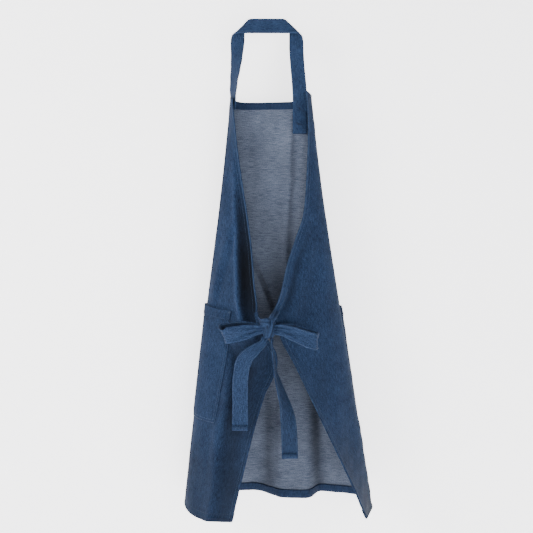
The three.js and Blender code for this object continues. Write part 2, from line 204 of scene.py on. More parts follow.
def denim(name, deep, pale, yarn, roughness=0.88, bump=0.35):
    material, nodes, links, shader = new_material(name, roughness)
    cloth_map = nodes.new("ShaderNodeUVMap")
    cloth_map.uv_map = "cloth"
    woven = nodes.new("ShaderNodeGroup")
    woven.node_tree = weave
    woven.inputs["Yarn"].default_value = yarn
    woven.inputs["Deep"].default_value = (*deep, 1)
    woven.inputs["Pale"].default_value = (*pale, 1)
    raised = nodes.new("ShaderNodeBump")
    raised.inputs["Strength"].default_value = bump
    raised.inputs["Distance"].default_value = 0.0006
    # The wear attribute holds worn edges and random tone, and also painted shade and highlight from folds,
    # creases and recesses.
    wear_and_shade = nodes.new("ShaderNodeAttribute")
    wear_and_shade.attribute_name = "wear_and_shade"
    links.new(wear_and_shade.outputs["Fac"], woven.inputs["Wear and shade"])
    links.new(cloth_map.outputs["UV"], woven.inputs["Cloth"])
    links.new(woven.outputs["Color"], shader.inputs["Base Color"])
    links.new(woven.outputs["Height"], raised.inputs["Height"])
    links.new(raised.outputs["Normal"], shader.inputs["Normal"])
    shader.inputs["Specular IOR Level"].default_value = 0.12
    shader.inputs["Sheen Weight"].default_value = 0.006
    shader.inputs["Sheen Roughness"].default_value = 0.5
    return material


# How often a metre each yarn changes, across the cloth and along it.
down_yarn = (760.0, 110.0, 1.0)
cross_yarn = (62.0, 820.0, 1.0)
sewing_yarn = (90.0, 2200.0, 1.0)


# ---- Front and side panels ----
# A front, with bib and skirt in one, and two side panels that wrap round to the back, cut from denim
# that is blue outside and grey-blue inside. They hang from the strap. One grid holds the whole cloth as
# it hangs: rows from the bib's top to the hem, columns from the left back edge round to the right one.
outside_denim = denim("denim_outside", (0.0021, 0.0064, 0.0196), (0.0119, 0.0253, 0.0582), down_yarn)
inside_denim = denim("denim_inside", (0.0295, 0.0385, 0.0605), (0.082, 0.096, 0.130), cross_yarn)
cloth_thick = 0.0011
apron_length = 0.905
strap_drop = 0.19
# Stations: the share of the way down from the bib's top, and the place there.
left_fold_x = [(0, -0.084), (0.25, -0.108), (0.55, -0.143), (0.75, -0.165), (1, -0.19)]
right_fold_x = [(0, 0.102), (0.25, 0.13), (0.55, 0.173), (0.75, 0.203), (1, 0.238)]
fold_y = [(0, 0.002), (0.25, -0.002), (0.55, 0), (0.75, 0.004), (1, 0.01)]
front_y = [(0, 0.014), (0.25, 0.02), (0.55, 0.024), (0.75, 0.034), (1, 0.048)]
# The back edges swing in to the waist, where they are tied, and out again below it.
left_edge_x = [(0, -0.08), (0.13, -0.067), (0.34, -0.047), (0.52, -0.031), (0.57, -0.008),
               (0.62, 0.016), (0.66, 0.012), (0.71, -0.011), (0.84, -0.048), (1, -0.081)]
right_edge_x = [(0, 0.0905), (0.06, 0.0945), (0.18, 0.091), (0.29, 0.082), (0.35, 0.064),
                (0.41, 0.046), (0.48, 0.031), (0.54, 0.014), (0.58, 0.026), (0.64, 0.055),
                (0.79, 0.121), (0.93, 0.182), (1, 0.209)]
left_edge_y = [(0, -0.028), (0.13, -0.034), (0.34, -0.058), (0.52, -0.088), (0.6, -0.093),
               (0.78, -0.105), (1, -0.13)]
right_edge_y = [(0, -0.02), (0.13, -0.028), (0.34, -0.058), (0.52, -0.088), (0.6, -0.093),
                (0.78, -0.112), (1, -0.15)]
# The front's skirt falls back towards the wearer in one broad fold, and the hem sags at the sides.
front_fold = [(0, 0), (0.6, 0), (0.8, 0.024), (1, 0.06)]
fold_centre = 0.06
fold_left_reach = 0.06
fold_right_reach = 0.053
side_drop = 0.015
left_sag = 0.014
right_sag = 0.003
corner_rise = 0.011
right_corner_rise = 0.005


def station(stops, share):
    """The value at a share of the way down, on a smooth curve through the stops."""
    for i in range(1, len(stops)):
        s0, a = stops[i - 1]
        s1, b = stops[i]
        if share <= s1 or i == len(stops) - 1:
            before = stops[max(i - 2, 0)]
            after = stops[min(i + 1, len(stops) - 1)]
            slope_a = (b - before[1]) / (s1 - before[0])
            slope_b = (after[1] - a) / (after[0] - s0)
            step = s1 - s0
            t = (share - s0) / step
            return ((2 * t ** 3 - 3 * t ** 2 + 1) * a + (t ** 3 - 2 * t ** 2 + t) * step * slope_a
                    + (3 * t ** 2 - 2 * t ** 3) * b + (t ** 3 - t ** 2) * step * slope_b)


def evenly_along(points, count):
    """The line's points spread evenly along it, and its length."""
    steps = np.linalg.norm(np.diff(points, axis=0), axis=1)
    travelled = np.concatenate([[0], np.cumsum(steps)])
    wanted = np.linspace(0, travelled[-1], count)
    return np.stack([np.interp(wanted, travelled, points[:, k]) for k in range(2)], 1), travelled[-1]


def ease(value, start, end):
    """From 0 at the start to 1 at the end, softly."""
    t = np.clip((value - start) / (end - start), 0, 1)
    return t * t * (3 - 2 * t)


def bump(value, centre, spread):
    """A rounded ridge, 1 at its centre."""
    return np.exp(-((value - centre) / spread) ** 2)


def wing_plan(fold, edge, handle, squareness):
    """A side panel seen from above: it leaves the side fold backwards and bows round to its edge."""
    reach = math.dist(fold, edge)
    straight = np.array([fold[0], fold[1] - reach * (handle + squareness)])
    bow = edge + (fold - edge) * (0.35 + squareness)
    bow[1] -= reach * (0.06 + squareness * 0.4)
    t = np.linspace(0, 1, 80)[:, None]
    return ((1 - t) ** 3 * fold + 3 * (1 - t) ** 2 * t * straight
            + 3 * (1 - t) * t ** 2 * bow + t ** 3 * edge)


def front_plan(left, right, side_y, y):
    """The front seen from above: nearly flat, and rounded at the side folds."""
    angle = np.linspace(0, math.pi, 600)
    across = -np.sign(np.cos(angle)) * np.abs(np.cos(angle)) ** 0.4
    forward = np.abs(np.sin(angle)) ** 0.4
    return np.stack([(left + right) / 2 + (right - left) / 2 * across, side_y + (y - side_y) * forward], 1)


row_count = 231
wing_count = 45
front_count = 113
shares = np.linspace(0, 1, row_count)
left_fold_column = wing_count - 1
right_fold_column = left_fold_column + front_count - 1
column_count = right_fold_column + wing_count
cloth = np.zeros((row_count, column_count, 3))
widths = {"left": np.zeros(row_count), "front": np.zeros(row_count), "right": np.zeros(row_count)}
spans = {"left": (0, left_fold_column), "front": (left_fold_column, right_fold_column),
         "right": (right_fold_column, column_count - 1)}

for r, share in enumerate(shares):
    side_y = station(fold_y, share)
    left_fold = np.array([station(left_fold_x, share), side_y])
    right_fold = np.array([station(right_fold_x, share), side_y])
    left_edge = np.array([station(left_edge_x, share), station(left_edge_y, share)])
    right_edge = np.array([station(right_edge_x, share), station(right_edge_y, share)])
    square = 0.1 * float(ease(share, 0.6, 1.0))
    left, widths["left"][r] = evenly_along(wing_plan(left_fold, left_edge, 0.2, square), wing_count)
    right, widths["right"][r] = evenly_along(wing_plan(right_fold, right_edge, 0.32, 0), wing_count)
    front, widths["front"][r] = evenly_along(
        front_plan(left_fold[0], right_fold[0], side_y, station(front_y, share)), front_count)
    beside = front[:, 0] - fold_centre
    pushed = np.where(beside < 0, np.abs(beside / fold_left_reach) ** 4,
                      np.abs(beside / fold_right_reach) ** 6)
    front[:, 1] -= station(front_fold, share) * np.exp(-pushed)
    wing_along = np.linspace(0, 1, wing_count)
    front_along = np.linspace(-1, 1, front_count)
    left_lower = side_drop + left_sag * np.sin(math.pi * wing_along)
    right_lower = side_drop * (1 - 0.95 * wing_along ** 1.5) + right_sag * np.sin(math.pi * wing_along)
    lower = np.concatenate([left_lower[::-1][:-1], side_drop * front_along ** 2, right_lower[1:]])
    cloth[r, :, :2] = np.concatenate([left[::-1][:-1], front, right[1:]])
    # The strap pulls the bib's two corners up, and the right one more.
    drawn = corner_rise * math.exp(-share / 0.03) * np.concatenate([
        np.exp(-((wing_along[::-1][:-1]) / 0.9) ** 2), np.abs(front_along) ** 6, 1 + 0.5 * wing_along[1:]])
    more = right_corner_rise * math.exp(-share / 0.05)
    drawn[left_fold_column:right_fold_column] += more * ((front_along[:-1] + 1) / 2) ** 2
    drawn[right_fold_column:] += more
    cloth[r, :, 2] = -strap_drop - share * apron_length - lower * share + drawn


def grid_normals(grid):
    across = np.gradient(grid, axis=1)
    down = np.gradient(grid, axis=0)
    facing = np.cross(across, down)
    return facing / np.linalg.norm(facing, axis=2, keepdims=True)


# Distances in metres from a panel's own edge, and the share of the way down, at each grid point.
down_share = np.repeat(shares[:, None], column_count, 1)
from_left_edge = np.zeros((row_count, column_count))
from_right_edge = np.zeros((row_count, column_count))
columns = np.arange(column_count)
for r in range(row_count):
    from_left_edge[r] = columns / left_fold_column * widths["left"][r]
    from_right_edge[r] = (column_count - 1 - columns) / (wing_count - 1) * widths["right"][r]
on_left = (columns <= left_fold_column)[None, :]
on_right = (columns >= right_fold_column)[None, :]
on_front = (columns >= left_fold_column)[None, :] & (columns <= right_fold_column)[None, :]
at_x, at_z = cloth[:, :, 0], cloth[:, :, 2]


def between(rising, full, fading, gone):
    """1 between full and fading, and 0 above rising and below gone, by the share of the way down."""
    return ease(down_share, rising, full) * (1 - ease(down_share, fading, gone))


# Pulls that run out from where the apron is tied.
tied_z = -0.703
reach = np.hypot(at_x, at_z - tied_z)
bearing = np.arctan2(at_z - tied_z, at_x)
pull = 0.0022 * np.sin(bearing * 11 + 0.6) * bump(reach, 0.05, 0.05)

# Left side panel: a tuck behind its back edge that deepens towards the waist, a slanting crease, and
# below the waist a recess behind an upright fold.
ridge_at = 0.014 + 0.018 * ease(down_share, 0.1, 0.52)
tuck = between(0.1, 0.4, 0.5, 0.6)
lift_left = tuck * (0.005 * bump(from_left_edge, ridge_at, 0.008)
                    - 0.02 * (1 - ease(from_left_edge, ridge_at - 0.012, ridge_at)))
crease = 0.018 + (down_share - 0.3) / 0.175 * 0.067
lift_left -= 0.0035 * bump(from_left_edge, crease, 0.008) * between(0.24, 0.34, 0.46, 0.53)
lift_left += 0.003 * bump(from_left_edge, crease + 0.017, 0.012) * between(0.26, 0.36, 0.46, 0.53)
fold_line = 0.108 - 0.03 * ease(down_share, 0.6, 0.76) - 0.022 * ease(down_share, 0.76, 1)
lift_left -= 0.014 * (1 - ease(from_left_edge, fold_line - 0.016, fold_line + 0.002)) * (
    ease(down_share, 0.56, 0.66) * (1 - 0.45 * ease(down_share, 0.85, 1)))
lift_left += 0.003 * bump(from_left_edge, fold_line + 0.008, 0.012) * ease(down_share, 0.58, 0.7)
lift_left += pull

# Right side panel: a shallow valley beside its turned edge, above the waist.
lift_right = -0.005 * bump(from_right_edge, 0.026, 0.009) * between(0.34, 0.42, 0.5, 0.56)
lift_right += 0.003 * bump(from_right_edge, 0.045, 0.014) * between(0.3, 0.42, 0.52, 0.6)
lift_right += 0.004 * bump(from_right_edge, 0.12, 0.03) * ease(down_share, 0.6, 0.85)
lift_right += pull

# Front panel, whose inside shows: a long upright fold in the upper part, a slanting one at the waist,
# and two soft ridges in the skirt.
fold_x = 0.054 - 0.013 * ease(down_share, 0.04, 0.5)
beside_fold = bump(at_x, fold_x + 0.018, 0.011)
slant = ((at_x + 0.038) * 0.93 + (at_z + 0.536) * 0.37)
lift_front = -0.0042 * bump(at_x, fold_x, 0.008) * between(0.01, 0.1, 0.35, 0.55)
lift_front += 0.0035 * beside_fold * between(0.01, 0.1, 0.35, 0.55)
lift_front -= 0.016 * (1 - ease(slant, -0.007, 0.001)) * bump(down_share, 0.5, 0.1)
lift_front += 0.004 * bump(slant, 0.007, 0.006) * bump(down_share, 0.48, 0.1)
lift_front += 0.0045 * bump(at_x, 0.017, 0.009) * ease(down_share, 0.62, 0.8)
lift_front += 0.0025 * bump(at_x, -0.06, 0.03) * ease(down_share, 0.6, 0.9)

# Gentle unevenness everywhere, quiet at the sewn edges.
uneven = (0.0011 * np.sin(at_x * 61 + at_z * 23 + 0.4) * np.sin(at_z * 37 - at_x * 19)
          + 0.0007 * np.sin(at_x * 137 - at_z * 71 + 2.0) * np.sin(at_z * 89 + at_x * 43 + 1.1)
          + 0.00035 * np.sin(at_x * 310 + at_z * 190) * np.sin(at_z * 250 - at_x * 120))
quiet = ease(np.minimum(from_left_edge, from_right_edge), 0.0, 0.03)
lift = np.where(on_left, lift_left, np.where(on_right, lift_right, lift_front))

# Painted shade and highlight, held as wear. Below nought darkens the colour in the tuck behind the left back
# edge, in the recess below the waist, in the valley beside the right edge, on the shadow sides of the front's
# folds, and towards the foot. Above nought lightens the tuck's ridge and the strip beside the front's upright
# fold. A gentle wave of random tone runs everywhere.
behind_ridge = 1 - ease(from_left_edge, ridge_at - 0.006, ridge_at + 0.001)
on_ridge = bump(from_left_edge, ridge_at + 0.003, 0.006)
recess = (1 - ease(from_left_edge, fold_line - 0.014, fold_line + 0.004)) * ease(down_share, 0.56, 0.66)
recess *= 0.3 + 0.7 * ease(from_left_edge, fold_line - 0.06, fold_line - 0.03)
# Painted shade behind the tuck's ridge and in the recess below the waist, with a painted highlight on the
# ridge.
painted_shade_left = tuck * (0.55 * on_ridge - 1.05 * behind_ridge)
painted_shade_left -= 0.75 * recess * (1 - 0.7 * ease(down_share, 0.74, 0.92))
# Darker below the waist and towards the bottom.
painted_shade_left -= 0.1 * ease(down_share, 0.5, 0.6) + 0.25 * ease(down_share, 0.8, 0.95)
# Painted shade in the valley beside the right panel's turned edge, and at its foot.
painted_shade_right = -0.5 * bump(from_right_edge, 0.024, 0.009) * between(0.3, 0.42, 0.5, 0.56)
painted_shade_right -= 0.45 * ease(down_share, 0.84, 1.0)
# Painted highlight beside the front's upright fold. Painted shade on the shadow sides of the skirt's folds
# and along the slanting fold's step.
skirt_fold = bump(at_x - 0.06 * (down_share - 0.85), 0.114, 0.015)
painted_shade_front = 0.16 * beside_fold * between(0.1, 0.16, 0.35, 0.55)
painted_shade_front -= 0.62 * skirt_fold * ease(down_share, 0.64, 0.8)
painted_shade_front -= 0.4 * bump(at_x, 0.006, 0.01) * ease(down_share, 0.64, 0.78)
painted_shade_front -= 0.5 * bump(slant, 0.004, 0.004) * bump(down_share, 0.47, 0.08)
wear_and_shade = np.where(on_left, painted_shade_left, 0) + np.where(on_right, painted_shade_right, 0) + np.where(on_front, painted_shade_front, 0)
wear_and_shade += 0.12 * np.sin(at_x * 47 + at_z * 13) * np.sin(at_z * 29 - at_x * 31 + 0.7)
seam_quiet = 1 - np.maximum(bump(columns, left_fold_column, 2.5), bump(columns, right_fold_column, 2.5))
lift = (lift + uneven * quiet) * seam_quiet[None, :]
cloth = cloth + grid_normals(cloth) * lift[:, :, None]
normals = grid_normals(cloth)


def on_cloth(panel, drop, distance, lift=0.0):
    """A place on a panel, by its drop from the bib's top and its distance from the side fold, or
    from the left fold on the front panel, both in metres. The lift is towards the outside."""
    r = drop / apron_length * (row_count - 1)
    r0 = int(min(max(math.floor(r), 0), row_count - 2))
    first, last = spans[panel]
    share = distance / np.interp(r, range(row_count), widths[panel])
    c = first + share * (last - first) if panel != "left" else last - share * (last - first)
    c0 = int(min(max(math.floor(c), first), last - 1))
    fr, fc = r - r0, c - c0
    weights = ((r0, c0, (1 - fr) * (1 - fc)), (r0, c0 + 1, (1 - fr) * fc),
               (r0 + 1, c0, fr * (1 - fc)), (r0 + 1, c0 + 1, fr * fc))
    point = sum(w * cloth[i, j] for i, j, w in weights)
    facing = sum(w * normals[i, j] for i, j, w in weights)
    return point + facing / np.linalg.norm(facing) * lift


def width_at(panel, drop):
    return float(np.interp(drop / apron_length * (row_count - 1), range(row_count), widths[panel]))


def mesh_piece(name, points, faces, cloth_map, materials):
    """A mesh with each point's place on the flat cloth, in metres, as its UV map."""
    mesh = bpy.data.meshes.new(name)
    mesh.from_pydata(points.tolist(), [], faces)
    layer = mesh.uv_layers.new(name="cloth")
    corners = np.zeros(len(mesh.loops), int)
    mesh.loops.foreach_get("vertex_index", corners)
    layer.data.foreach_set("uv", cloth_map[corners].ravel())
    for material in materials:
        mesh.materials.append(material)
    piece = bpy.data.objects.new(name, mesh)
    bpy.context.scene.collection.objects.link(piece)
    return piece


def grid_piece(name, points, cloth_map, materials, thickness=0.0, offset=-1.0):
    """A mesh from a grid of points whose rows run down and columns across, with its place on the
    flat cloth as a UV map. Thickness is added towards the inside."""
    points = np.asarray(points, float)
    cloth_map = np.asarray(cloth_map, float)
    rows, across = points.shape[:2]
    faces = []
    for r in range(rows - 1):
        for c in range(across - 1):
            a = r * across + c
            faces.append((a, a + 1, a + across + 1, a + across))
    piece = mesh_piece(name, points.reshape(-1, 3), faces, cloth_map.reshape(-1, 2), materials)
    if thickness:
        second_face = piece.modifiers.new("thickness", "SOLIDIFY")
        second_face.thickness = thickness
        second_face.offset = offset
        second_face.use_even_offset = False
        second_face.material_offset = len(materials) - 1
        second_face.material_offset_rim = 0
        bpy.context.view_layer.objects.active = piece
        bpy.ops.object.modifier_apply(modifier="thickness")
    for polygon in piece.data.polygons:
        polygon.use_smooth = True
    return piece


def give_wear_and_shade(piece, amounts):
    """Writes the wear and painted shade and highlight at each point. Solidify keeps the points' order, twice
    over.
    """
    values = np.resize(np.asarray(amounts, float).ravel(), len(piece.data.vertices))
    layer = piece.data.attributes.new("wear_and_shade", "FLOAT", "POINT")
    layer.data.foreach_set("value", values.astype(np.float32))


def panel_piece(name, panel, node):
    first, last = spans[panel]
    place = cloth[:, first:last + 1] + normals[:, first:last + 1] * cloth_thick / 2
    across = np.linspace(0, 1, last - first + 1)[None, :] * widths[panel][:, None]
    down = np.repeat((shares * apron_length)[:, None], last - first + 1, 1)
    piece = grid_piece(name, place, np.stack([across, down], 2), [outside_denim, inside_denim], cloth_thick)
    give_wear_and_shade(piece, wear_and_shade[:, first:last + 1])
    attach(piece, "apron_body")
    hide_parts(node)
    return piece


front_panel = panel_piece("front_cloth", "front", "front_panel")
left_panel = panel_piece("left_side_cloth", "left", "left_side_panel")
right_panel = panel_piece("right_side_cloth", "right", "right_side_panel")


# ---- Stitches ----
# Cotton sewing thread, dark in the hems and paler along the edges. One short stitch, rounded at its
# ends, is shaped once and repeated along every seam.
thread = denim("thread", (0.004, 0.009, 0.023), (0.01, 0.02, 0.044), sewing_yarn, 0.6)
pale_thread = denim("thread_pale", (0.018, 0.032, 0.062), (0.038, 0.058, 0.098), sewing_yarn, 0.6)
stitch_radius = 0.00028
stitch_length = 0.0022
bpy.ops.mesh.primitive_cylinder_add(vertices=6, radius=stitch_radius, depth=stitch_length,
                                    end_fill_type="NGON")
single = bpy.context.object
bpy.ops.object.mode_set(mode="EDIT")
bpy.ops.mesh.select_all(action="SELECT")
bpy.ops.mesh.bevel(offset=0.00012, segments=1)
bpy.ops.object.mode_set(mode="OBJECT")
stitch_points = np.array([v.co for v in single.data.vertices])
stitch_faces = [list(p.vertices) for p in single.data.polygons]
bpy.data.objects.remove(single)


def sewn_line(name, lines, material, body, pitch=0.0033):
    """Each line is a list of (place, facing) pairs, close together, that one row of stitches follows."""
    places, faces, flats = [], [], []
    for line in lines:
        points = np.array([p for p, _ in line])
        facings = np.array([n for _, n in line])
        steps = np.linalg.norm(np.diff(points, axis=0), axis=1)
        travelled = np.concatenate([[0], np.cumsum(steps)])
        for k in range(int(travelled[-1] / pitch)):
            middle = (k + 0.5) * pitch
            spot = np.array([np.interp(middle, travelled, points[:, i]) for i in range(3)])
            ahead = np.array([np.interp(middle + pitch * 0.3, travelled, points[:, i]) for i in range(3)])
            up = np.array([np.interp(middle, travelled, facings[:, i]) for i in range(3)])
            run = ahead - spot
            if np.linalg.norm(run) < 1e-9:
                continue
            run /= np.linalg.norm(run)
            up -= run * up.dot(run)
            up /= np.linalg.norm(up)
            side = np.cross(run, up)
            start = len(places) * len(stitch_points)
            places.append(spot + stitch_points[:, :1] * side + stitch_points[:, 1:2] * up
                          + stitch_points[:, 2:3] * run)
            faces.extend([[start + i for i in face] for face in stitch_faces])
            flats.append(np.stack([stitch_points[:, 0], stitch_points[:, 2] + middle], 1))
    piece = mesh_piece(name, np.concatenate(places), faces, np.concatenate(flats), [material])
    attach(piece, body)
    return piece


def seam_point(panel, drop, distance, lift):
    """A stitch's place on a panel, and the way it faces: outwards, or inwards with a lift below nought."""
    place = on_cloth(panel, drop, distance, lift)
    facing = on_cloth(panel, drop, distance, lift + 0.001) - place
    return place, facing * (1 if lift > 0 else -1)


# ---- Turned hems ----
# The panels' raw edges are folded to the inside twice and sewn down, so the cloth's darker face shows
# there. The folded edge is round, and the band is puckered a little by its stitches.
hem_denim = denim("denim_hem", (0.0034, 0.0080, 0.0215), (0.0108, 0.0215, 0.049), down_yarn)
edge_denim = denim("denim_edge", (0.0072, 0.0156, 0.037), (0.019, 0.036, 0.074), down_yarn)
bib_hem_depth = 0.015
skirt_hem_depth = 0.017
edge_depth = 0.01
waist_step = 0.545


def turned_edge(name, panel, along, depth, end, material, node, seed=0.0):
    """A hem along a panel's top, foot or back edge. along is a list of steps, end says which edge."""
    inner = -(cloth_thick / 2 + 0.0006)
    # The band's section: how far in from the edge, and the lift off the middle of the cloth.
    profile = [(depth, inner - 0.0001), (depth, inner - 0.0012), (depth - 0.0015, inner - 0.0018)]
    profile += [(depth * k, inner - 0.0017) for k in (0.75, 0.5, 0.25)]
    profile += [(0.0003, inner - 0.0012), (-0.0009, inner - 0.0002), (-0.0013, 0.0001),
                (-0.0008, cloth_thick / 2 + 0.0003), (0.0008, cloth_thick / 2 + 0.0006),
                (0.002, cloth_thick / 2 + 0.00015)]
    points, flat = [], []
    for step in along:
        line, uv = [], []
        for k, (offset, lift) in enumerate(profile):
            wave = 0.0004 * math.sin(step * 420 + seed) + 0.0003 * math.sin(step * 173 + 1.3 + seed)
            lifted = lift - (wave * 0.5 if lift < inner else 0)
            if end == "top":
                place = on_cloth(panel, offset, step * width_at(panel, 0), lifted)
            elif end == "foot":
                place = on_cloth(panel, apron_length - offset, step * width_at(panel, apron_length), lifted)
            else:
                drop = step * apron_length
                place = on_cloth(panel, drop, width_at(panel, drop) - offset - 0.0002, lifted)
            line.append(place)
            uv.append((offset, step * apron_length) if end == "edge" else (step * 0.4, offset))
        points.append(line)
        flat.append(uv)
    piece = grid_piece(name, points, flat, [material], 0.0004, 0.0)
    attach(piece, "apron_body")
    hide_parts(node)
    return piece


front_steps = np.linspace(0.0, 1.0, 120)
side_steps = np.linspace(0, 1, 80)
upper_steps = np.linspace(0.0, waist_step, 130)
lower_steps = np.linspace(waist_step, 1.0, 120)
bib_hem = turned_edge("bib_hem_band", "front", front_steps, bib_hem_depth, "top", hem_denim, "bib_top_hem")
front_hem = turned_edge("front_hem_band", "front", front_steps, skirt_hem_depth, "foot", hem_denim,
                        "front_hem", 0.7)
left_hem = turned_edge("left_hem_band", "left", side_steps, skirt_hem_depth, "foot", hem_denim,
                       "left_side_hem", 1.1)
right_hem = turned_edge("right_hem_band", "right", side_steps, skirt_hem_depth, "foot", hem_denim,
                        "right_side_hem", 2.1)
left_armhole = turned_edge("left_armhole_band", "left", upper_steps, edge_depth, "edge", edge_denim,
                           "left_armhole_hem", 0.2)
right_armhole = turned_edge("right_armhole_band", "right", upper_steps, edge_depth, "edge", edge_denim,
                            "right_armhole_hem", 1.7)
left_back = turned_edge("left_back_band", "left", lower_steps, edge_depth, "edge", outside_denim,
                        "left_back_hem", 0.9)
right_back = turned_edge("right_back_band", "right", lower_steps, edge_depth, "edge", outside_denim,
                         "right_back_hem", 2.9)

out_lift = cloth_thick / 2 + 0.0001
in_lift = -(cloth_thick / 2 + 0.0026)


def across_rows(panel, drop, inset=0.003):
    """One row of stitches across a panel, seen on both faces."""
    distances = np.linspace(inset, width_at(panel, drop) - inset, 160)
    return [[seam_point(panel, drop, distance, lift) for distance in distances]
            for lift in (out_lift, in_lift)]


def edge_rows_down(panel, inset=0.0085, ends=0.004):
    """One row of stitches down a panel's back edge, seen on both faces."""
    drops = np.linspace(ends, apron_length - ends, 260)
    return [[seam_point(panel, drop, width_at(panel, drop) - inset, lift) for drop in drops]
            for lift in (out_lift, in_lift)]


hem_lines = across_rows("front", bib_hem_depth - 0.0022)
for panel in ("front", "left", "right"):
    hem_lines += across_rows(panel, apron_length - skirt_hem_depth + 0.0022)
hem_stitches = sewn_line("hem_stitches", hem_lines, thread, "apron_body")
edge_stitches = sewn_line("edge_stitches", edge_rows_down("left") + edge_rows_down("right"),
                          pale_thread, "apron_body")


# ---- Side seams ----
# Each side panel is joined to the front with a flat felled seam: a narrow band inside, over the
# join, and two rows of stitches that show outside.
seam_denim = denim("denim_seam", (0.02, 0.03, 0.052), (0.05, 0.066, 0.1), down_yarn)


def felled_seam(name, sign):
    """The sign is 1 on the left fold and -1 on the right."""
    points, flat = [], []
    across = [-0.0042, -0.0041, -0.003, 0.0, 0.003, 0.0041, 0.0042]
    depth = [0.0002, 0.0008, 0.0011, 0.0012, 0.0011, 0.0008, 0.0002]
    for r in range(row_count):
        share = shares[r]
        line, uv = [], []
        for offset, lift in zip(across, depth):
            panel = "front" if offset * sign >= 0 else ("left" if sign > 0 else "right")
            if panel == "front":
                span = width_at("front", share * apron_length)
                distance = abs(offset) if sign > 0 else span - abs(offset)
            else:
                distance = abs(offset)
            line.append(on_cloth(panel, share * apron_length, distance, -(cloth_thick / 2 + lift)))
            uv.append((offset, share * apron_length))
        points.append(line)
        flat.append(uv)
    piece = grid_piece(name, points, flat, [seam_denim], 0.0003, 0.0)
    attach(piece, "apron_body")
    return piece


left_seam = felled_seam("left_side_seam", 1)
right_seam = felled_seam("right_side_seam", -1)


def drop_line(panel, distance):
    """A row down a panel, at a distance from the left of the front, or from the right if below nought."""
    line = []
    for drop in np.linspace(0.002, apron_length - 0.002, 260):
        real = distance if distance >= 0 else width_at(panel, drop) + distance
        line.append(seam_point(panel, drop, real, out_lift))
    return line


seam_stitches = sewn_line("seam_stitches", [
    drop_line("left", 0.002), drop_line("front", -0.002),
    drop_line("left", 0.0075), drop_line("front", -0.0075),
], thread, "apron_body")


# ---- Patch pockets ----
# Each is one piece of denim sewn on down its sides and along its foot, with two rows of stitches and
# bar tacks at the mouth. The left one reaches round the side fold. The mouths have a turned band and
# stand a little open.
pocket_drop = 0.465
pocket_height = 0.24
pocket_width = 0.15
pocket_hem = 0.02
left_wrap = 0.086


def around(side, drop, distance, lift):
    """Distance from the side fold: towards the back is negative, towards the front positive."""
    if distance < 0:
        return on_cloth("left" if side < 0 else "right", drop, -distance, lift)
    if side < 0:
        return on_cloth("front", drop, distance, lift)
    return on_cloth("front", drop, width_at("front", drop) - distance, lift)


pockets = {
    "left": {"side": -1, "start": -left_wrap, "end": pocket_width - left_wrap, "slope": 0.011,
             "full": 0.008},
    "right": {"side": 1, "start": 0.001, "end": pocket_width, "slope": 0.004, "full": 0.011},
}


def pocket_lift(spec, across, down):
    """How far the pocket stands off the panel: it gapes at its mouth and lies flat at its seams."""
    share = (across - spec["start"]) / (spec["end"] - spec["start"])
    share = min(max(share, 0.0), 1.0)
    lean = 1.5 if spec["side"] < 0 else 0.8
    above_foot = 1 - min(max(down / pocket_height, 0), 1)
    gape = spec["full"] * math.sin(math.pi * share ** lean) * above_foot ** 1.4
    if spec["side"] < 0:
        gape *= 0.25 + 0.75 * float(ease(across, 0.005, 0.04))
    edge = min(across - spec["start"], spec["end"] - across, pocket_height - down)
    pillow = 0.0012 * min(1.0, max(edge, 0) / 0.012)
    return cloth_thick / 2 + 0.0011 + gape + pillow


def sloped(spec, across, down):
    """The mouth is sewn a little higher at the front, and the rest follows it less and less."""
    share = (across - spec["start"]) / (spec["end"] - spec["start"])
    return pocket_drop + down - spec["slope"] * (0.25 + share) * max(1 - down / pocket_height, 0)


def pocket_sheet(name, spec, drops, extra, material, thickness, inset=0.0):
    distances = np.linspace(spec["start"] + inset, spec["end"] - inset, 44)
    points, flat = [], []
    order = distances if spec["side"] < 0 else distances[::-1]
    for drop in drops:
        line, uv = [], []
        for distance in order:
            lift = pocket_lift(spec, distance, drop) + extra
            line.append(around(spec["side"], sloped(spec, distance, drop), distance, lift))
            uv.append((distance + 0.3, drop + 0.7))
        points.append(line)
        flat.append(uv)
    piece = grid_piece(name, points, flat, [material], thickness)
    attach(piece, "apron_body")
    return piece


def pocket_stitch(spec, across, down, proud, lift_down=None):
    """A stitch's place on a pocket and the way it faces, standing proud of the cloth there."""
    lift = pocket_lift(spec, across, down if lift_down is None else lift_down) + proud
    place = around(spec["side"], sloped(spec, across, down), across, lift)
    above = around(spec["side"], sloped(spec, across, down), across, lift + 0.001)
    return place, above - place


